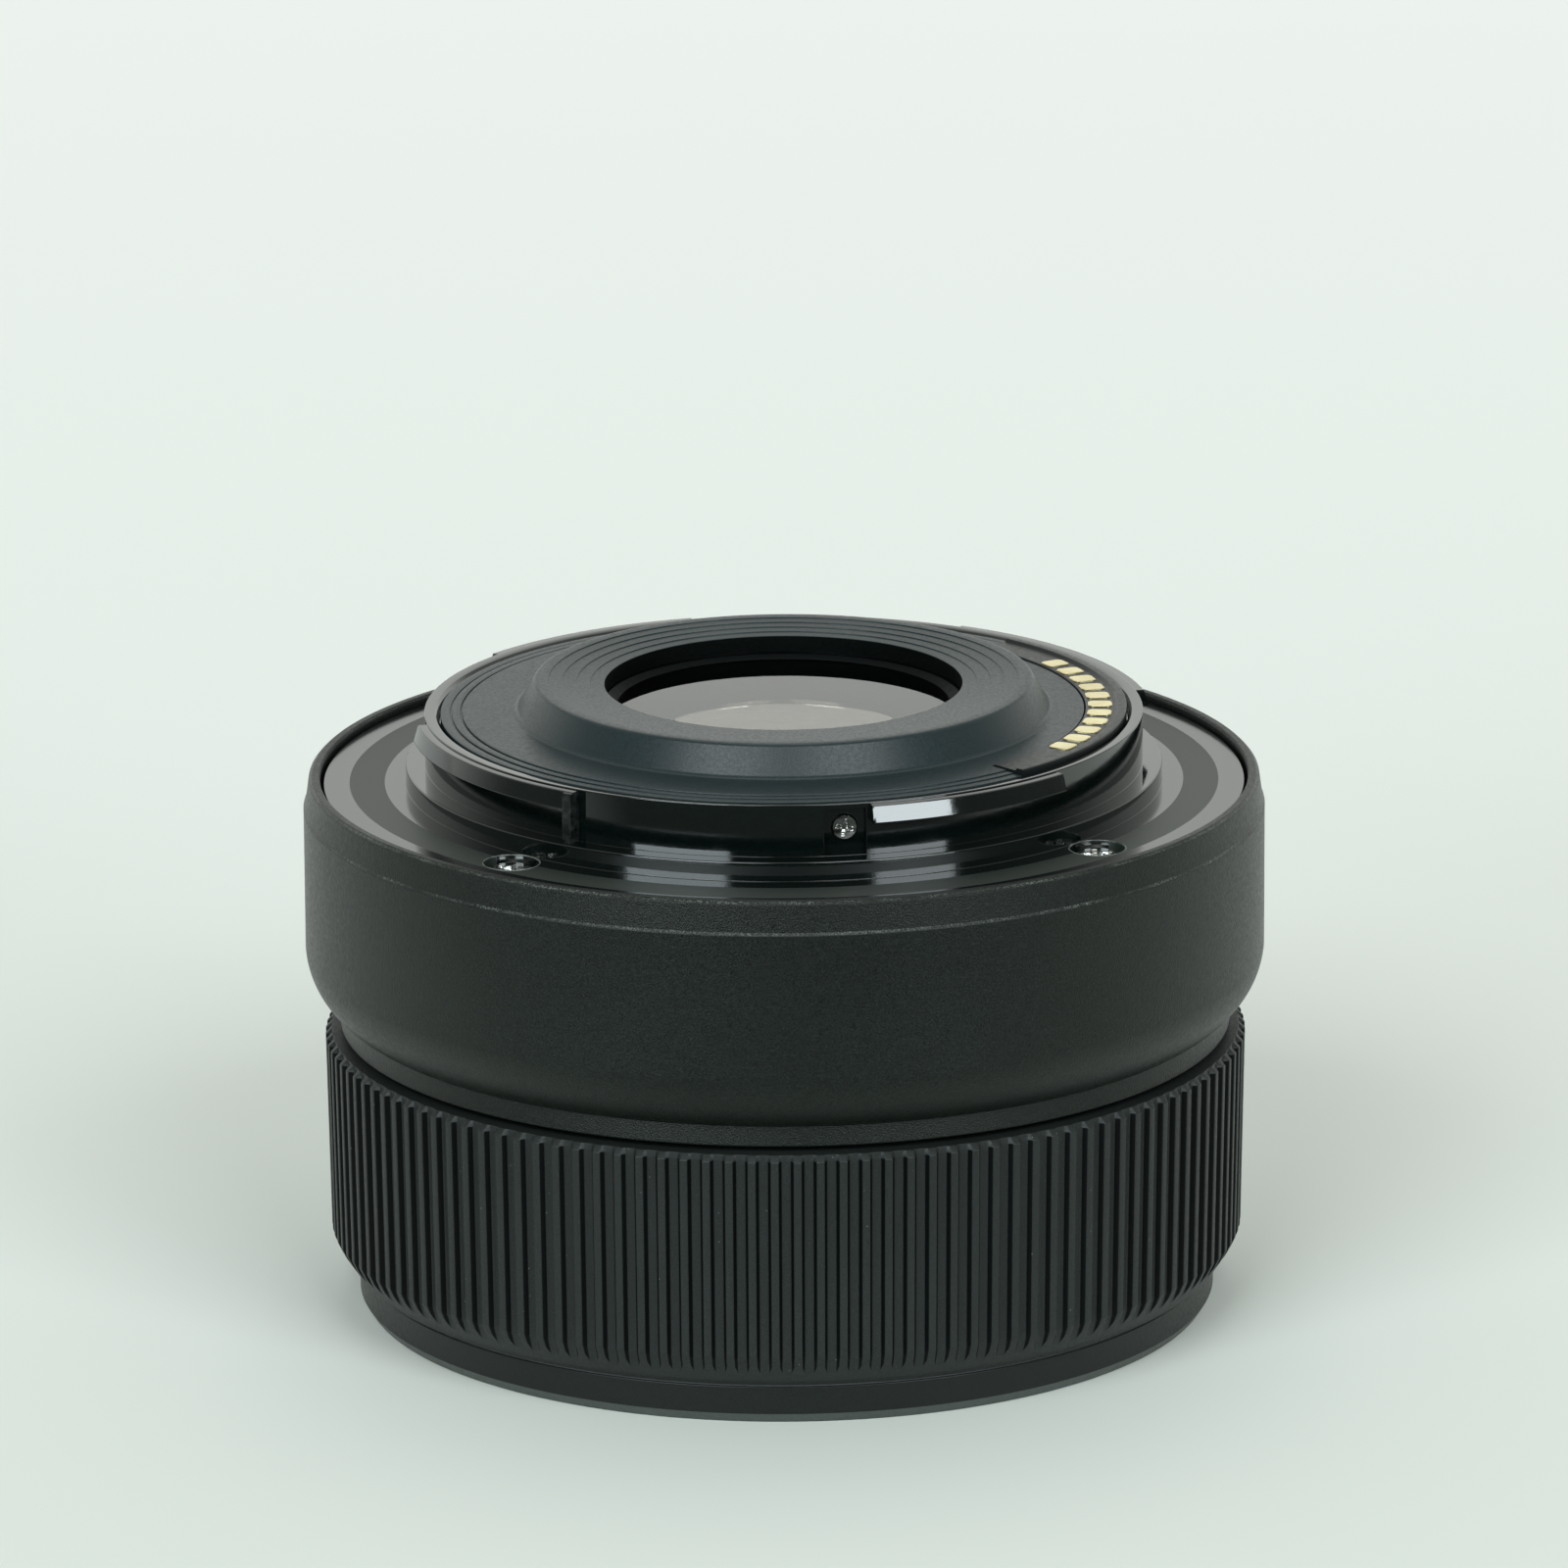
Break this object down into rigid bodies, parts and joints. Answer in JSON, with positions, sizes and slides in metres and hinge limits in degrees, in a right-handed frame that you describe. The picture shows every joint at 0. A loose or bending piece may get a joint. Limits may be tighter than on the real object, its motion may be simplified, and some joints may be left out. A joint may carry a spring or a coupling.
{
  "type": "prime camera lens",
  "caption": "Compact autofocus prime lens with a ribbed control ring, a stepped black casing and a gloss bayonet mount with gold contacts, standing on its front rim.",
  "frame": {"origin": "centre of the front rim, where the lens stands on a table", "axes": "+Z along the optical axis towards the camera mount; the electrical contacts are on the +X side"},
  "size_m": [0.07, 0.07, 0.0464],
  "materials": {
    "casing_paint": "fine textured matte black paint over moulded polycarbonate",
    "grip_rubber": "ribbed matte black rubber",
    "front_plastic": "satin black moulded plastic",
    "frame_plastic": "black glass-filled plastic",
    "mount_plastic": "glossy black engineering plastic",
    "baffle_plastic": "satin blue-grey black plastic with fine grain",
    "contact_plastic": "black moulded plastic",
    "contact_gold": "pale gold plated contacts",
    "screw_steel": "bright nickel plated steel",
    "glass": "anti-reflection coated optical glass",
    "cell_black": "black anodised aluminium",
    "carrier_plastic": "black acetal plastic",
    "encoder_plastic": "grey plastic comb",
    "blade_steel": "black coated spring steel",
    "motor_steel": "plated steel can",
    "rod_steel": "ground stainless steel",
    "nut_brass": "machined brass",
    "board_green": "solder-masked circuit board",
    "chip_black": "moulded chip packages",
    "flex_amber": "polyimide flexible circuit",
    "washer_grey": "slippery PTFE",
    "index_white": "white moulded plastic"
  },
  "bodies": {
    "barrel": {"front_barrel": "front_plastic", "front_bezel": "front_plastic", "main_frame": "frame_plastic", "rear_casing": "casing_paint", "mount_plate": "mount_plastic", "mount_screws": "screw_steel", "side_screws": "screw_steel", "contact_block": "contact_plastic", "contact_pads": "contact_gold", "contact_flex": "flex_amber", "rear_baffle": "baffle_plastic", "rear_retaining_ring": "cell_black", "rear_cell": "cell_black", "rear_spacer": "cell_black", "front_cell": "cell_black", "front_retaining_ring": "cell_black", "iris_base": "frame_plastic", "iris_cover": "frame_plastic", "iris_screws": "screw_steel", "iris_motor": "motor_steel", "focus_motor": "motor_steel", "focus_bracket": "motor_steel", "guide_rods": "rod_steel", "main_board": "board_green", "board_components": "chip_black", "board_screws": "screw_steel", "ring_sensor": "chip_black", "focus_sensor": "chip_black", "frame_screws": "screw_steel", "cell_screws": "screw_steel", "mount_index_dot": "index_white", "ring_washer": "washer_grey", "lens_1": "glass", "lens_2": "glass", "lens_3": "glass", "lens_4": "glass", "lens_7": "glass", "lens_8": "glass", "lens_9": "glass"},
    "control_ring": {"control_ring": "grip_rubber", "ring_carrier": "carrier_plastic", "encoder_comb": "encoder_plastic"},
    "focus_group": {"focus_cell": "carrier_plastic", "lens_5": "glass", "lens_6": "glass", "focus_retaining_ring": "cell_black", "focus_nut": "nut_brass"},
    "lead_screw": {"lead_screw": "rod_steel"},
    "iris_ring": {"iris_ring": "carrier_plastic"},
    "iris_pinion": {"iris_pinion": "nut_brass"},
    "blade_1": {"iris_blade_1": "blade_steel"},
    "blade_2": {"iris_blade_2": "blade_steel"},
    "blade_3": {"iris_blade_3": "blade_steel"},
    "blade_4": {"iris_blade_4": "blade_steel"},
    "blade_5": {"iris_blade_5": "blade_steel"},
    "blade_6": {"iris_blade_6": "blade_steel"},
    "blade_7": {"iris_blade_7": "blade_steel"}
  },
  "joints": [
    {"name": "control_ring_turn", "type": "hinge", "parent": "barrel", "child": "control_ring", "pos_m": [0, 0, 0.0118], "axis": [0, 0, 1], "continuous": true},
    {"name": "focus_slide", "type": "slide", "parent": "barrel", "child": "focus_group", "axis": [0, 0, 1], "range_m": [0, 0.0024]},
    {"name": "lead_screw_turn", "type": "hinge", "parent": "barrel", "child": "lead_screw", "pos_m": [-0.01925, -0.01348, 0.03], "axis": [0, 0, 1], "range_deg": [-5, 1733]},
    {"name": "iris_ring_turn", "type": "hinge", "parent": "barrel", "child": "iris_ring", "pos_m": [0, 0, 0.0213], "axis": [0, 0, 1], "range_deg": [0, 4.91]},
    {"name": "iris_pinion_turn", "type": "hinge", "parent": "barrel", "child": "iris_pinion", "pos_m": [0.0105, -0.01819, 0.0213], "axis": [0, 0, 1], "range_deg": [-47.14, 0.5]},
    {"name": "blade_1_turn", "type": "hinge", "parent": "barrel", "child": "blade_1", "pos_m": [0, -0.013, 0.0204], "axis": [0, 0, 1], "range_deg": [-0.3, 27.3]},
    {"name": "blade_2_turn", "type": "hinge", "parent": "barrel", "child": "blade_2", "pos_m": [0.01016, -0.0081, 0.0204], "axis": [0, 0, 1], "range_deg": [-0.3, 27.3]},
    {"name": "blade_3_turn", "type": "hinge", "parent": "barrel", "child": "blade_3", "pos_m": [0.01267, 0.00289, 0.0204], "axis": [0, 0, 1], "range_deg": [-0.3, 27.3]},
    {"name": "blade_4_turn", "type": "hinge", "parent": "barrel", "child": "blade_4", "pos_m": [0.00564, 0.01171, 0.0204], "axis": [0, 0, 1], "range_deg": [-0.3, 27.3]},
    {"name": "blade_5_turn", "type": "hinge", "parent": "barrel", "child": "blade_5", "pos_m": [-0.00564, 0.01171, 0.0204], "axis": [0, 0, 1], "range_deg": [-0.3, 27.3]},
    {"name": "blade_6_turn", "type": "hinge", "parent": "barrel", "child": "blade_6", "pos_m": [-0.01267, 0.00289, 0.0204], "axis": [0, 0, 1], "range_deg": [-0.3, 27.3]},
    {"name": "blade_7_turn", "type": "hinge", "parent": "barrel", "child": "blade_7", "pos_m": [-0.01016, -0.0081, 0.0204], "axis": [0, 0, 1], "range_deg": [-0.3, 27.3]}
  ],
  "couplings": [
    {"joint": "lead_screw_turn", "follows": "focus_slide", "rad_per_m": 12566},
    {"joint": "iris_pinion_turn", "follows": "iris_ring_turn", "ratio": -9.5},
    {"joint": "blade_1_turn", "follows": "iris_ring_turn", "ratio": 5.5},
    {"joint": "blade_2_turn", "follows": "iris_ring_turn", "ratio": 5.5},
    {"joint": "blade_3_turn", "follows": "iris_ring_turn", "ratio": 5.5},
    {"joint": "blade_4_turn", "follows": "iris_ring_turn", "ratio": 5.5},
    {"joint": "blade_5_turn", "follows": "iris_ring_turn", "ratio": 5.5},
    {"joint": "blade_6_turn", "follows": "iris_ring_turn", "ratio": 5.5},
    {"joint": "blade_7_turn", "follows": "iris_ring_turn", "ratio": 5.5}
  ]
}
